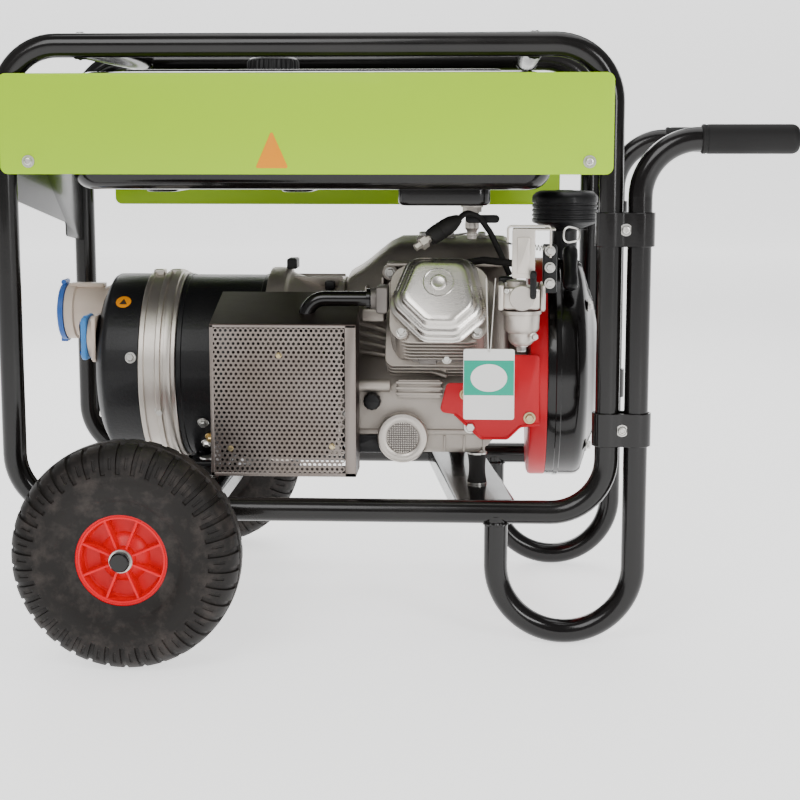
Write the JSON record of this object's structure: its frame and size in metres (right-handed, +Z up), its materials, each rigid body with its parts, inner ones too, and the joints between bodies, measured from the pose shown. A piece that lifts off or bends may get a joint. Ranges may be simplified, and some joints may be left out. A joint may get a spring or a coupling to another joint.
{
  "type": "portable generator",
  "caption": "Petrol generator in a tube frame: engine driving an alternator, lime panels round the tank, two outlets, and a trolley kit with two wheels and wheelbarrow handles.",
  "frame": {"origin": "on the ground, under the middle of the bounding box", "axes": "+X along the crankshaft towards the handles, -Y towards the cylinder head side, +Z up"},
  "size_m": [0.9269, 0.6926, 0.714],
  "materials": {
    "black_paint": "gloss black powder coat",
    "lime_paint": "satin lime paint",
    "red_paint": "gloss red paint",
    "cast_alloy": "as-cast",
    "pressed_steel": "bright pressed",
    "guard_steel": "grey heat-proof paint on perforated sheet",
    "bare_steel": "zinc plated",
    "dark_plastic": "fine grain",
    "tank_plastic": "moulded black",
    "rubber": "matt",
    "tyre_rubber": "matt, brownish",
    "red_plastic": "semi-gloss",
    "cream_plastic": "semi-gloss",
    "blue_plastic": "semi-gloss",
    "sky_plastic": "semi-gloss",
    "copper": "enamelled windings"
  },
  "bodies": {
    "generator": {"air_cleaner": "cast_alloy", "alternator_band": "cast_alloy", "alternator_crossmember": "black_paint", "alternator_end_cover": "black_paint", "alternator_housing": "black_paint", "alternator_mount_back": "rubber", "alternator_mount_front": "rubber", "axle": "black_paint", "carburettor": "cast_alloy", "clamp_lower_back": "black_paint", "clamp_lower_front": "black_paint", "clamp_upper_back": "black_paint", "clamp_upper_front": "black_paint", "cooling_shroud": "red_paint", "crankcase": "cast_alloy", "cylinder_head": "cast_alloy", "drive_end_bracket": "cast_alloy", "end_plate_left": "black_paint", "engine_crossmember": "black_paint", "engine_mount_back": "rubber", "engine_mount_front": "rubber", "exhaust_pipe": "black_paint", "float_bowl": "cast_alloy", "frame_hoop_back": "black_paint", "frame_hoop_front": "black_paint", "fuel_tank": "tank_plastic", "fuel_tap_body": "cast_alloy", "grip_back": "rubber", "grip_front": "rubber", "handle_bar_back": "black_paint", "handle_bar_front": "black_paint", "muffler": "guard_steel", "muffler_guard": "guard_steel", "piston": "cast_alloy", "recoil_cover": "black_paint", "side_panel_back": "lime_paint", "side_panel_front": "lime_paint", "socket_large": "cream_plastic", "socket_small": "cream_plastic", "spark_plug_lead": "rubber", "stator": "copper", "top_cross_tube_left": "black_paint", "top_cross_tube_right": "black_paint", "valve_cover": "pressed_steel", "vented_cover": "cast_alloy"},
    "wheel_front": {"hub_front": "red_plastic", "tyre_front": "tyre_rubber"},
    "wheel_back": {"hub_back": "red_plastic", "tyre_back": "tyre_rubber"},
    "crank": {"crankshaft_rotor": "bare_steel", "flywheel_fan": "cast_alloy"},
    "starter_grip": {"recoil_grip": "dark_plastic"},
    "fuel_cap": {"fuel_cap": "dark_plastic"},
    "oil_dipstick": {"oil_dipstick": "dark_plastic"},
    "fuel_tap_lever": {"fuel_tap_lever": "dark_plastic"},
    "choke_lever": {"choke_lever": "dark_plastic"},
    "large_lid": {"socket_large_lid": "blue_plastic"},
    "small_lid": {"socket_small_lid": "sky_plastic"},
    "engine_switch": {"engine_switch": "red_plastic"},
    "breaker_button": {"breaker_button": "red_plastic"}
  },
  "joints": [
    {"name": "wheel_front_spin", "type": "hinge", "parent": "generator", "child": "wheel_front", "pos_m": [-0.2925, -0.3, 0.13], "axis": [0, 1, 0], "continuous": true},
    {"name": "wheel_back_spin", "type": "hinge", "parent": "generator", "child": "wheel_back", "pos_m": [-0.2925, 0.3, 0.13], "axis": [0, 1, 0], "continuous": true},
    {"name": "crank_spin", "type": "hinge", "parent": "generator", "child": "crank", "pos_m": [0.0545, 0.03, 0.303], "axis": [1, 0, 0], "continuous": true},
    {"name": "starter_pull", "type": "slide", "parent": "generator", "child": "starter_grip", "axis": [0, -0.9, 0.436], "range_m": [0, 0.5], "stiffness_N_per_m": 25, "springref_m": -0.3},
    {"name": "fuel_cap_turn", "type": "hinge", "parent": "generator", "child": "fuel_cap", "pos_m": [-0.1585, 0, 0.682], "axis": [0, 0, 1], "range_deg": [0, 90]},
    {"name": "oil_dipstick_turn", "type": "hinge", "parent": "generator", "child": "oil_dipstick", "pos_m": [-0.0275, -0.1053, 0.277], "axis": [0, -1, 0], "range_deg": [0, 360]},
    {"name": "fuel_tap_turn", "type": "hinge", "parent": "generator", "child": "fuel_tap_lever", "pos_m": [0.0925, -0.0553, 0.4967], "axis": [0, 1, 0], "range_deg": [0, 90]},
    {"name": "choke_turn", "type": "hinge", "parent": "generator", "child": "choke_lever", "pos_m": [0.1655, -0.1653, 0.412], "axis": [0, 1, 0], "range_deg": [0, 60]},
    {"name": "large_lid_hinge", "type": "hinge", "parent": "generator", "child": "large_lid", "pos_m": [-0.4421, 0.06, 0.408], "axis": [0, 1, 0], "range_deg": [0, 100], "stiffness_Nm_per_rad": 0.03, "springref_deg": -22.92},
    {"name": "small_lid_hinge", "type": "hinge", "parent": "generator", "child": "small_lid", "pos_m": [-0.3911, -0.036, 0.374], "axis": [0, 1, 0], "range_deg": [0, 100], "stiffness_Nm_per_rad": 0.02, "springref_deg": -22.92},
    {"name": "engine_switch_rock", "type": "hinge", "parent": "generator", "child": "engine_switch", "pos_m": [0.1015, 0.2043, 0.61], "axis": [1, 0, 0], "range_deg": [-8, 8]},
    {"name": "breaker_push", "type": "slide", "parent": "generator", "child": "breaker_button", "axis": [1, 0, 0], "range_m": [0, 0.003], "stiffness_N_per_m": 600, "springref_m": -0.002}
  ]
}
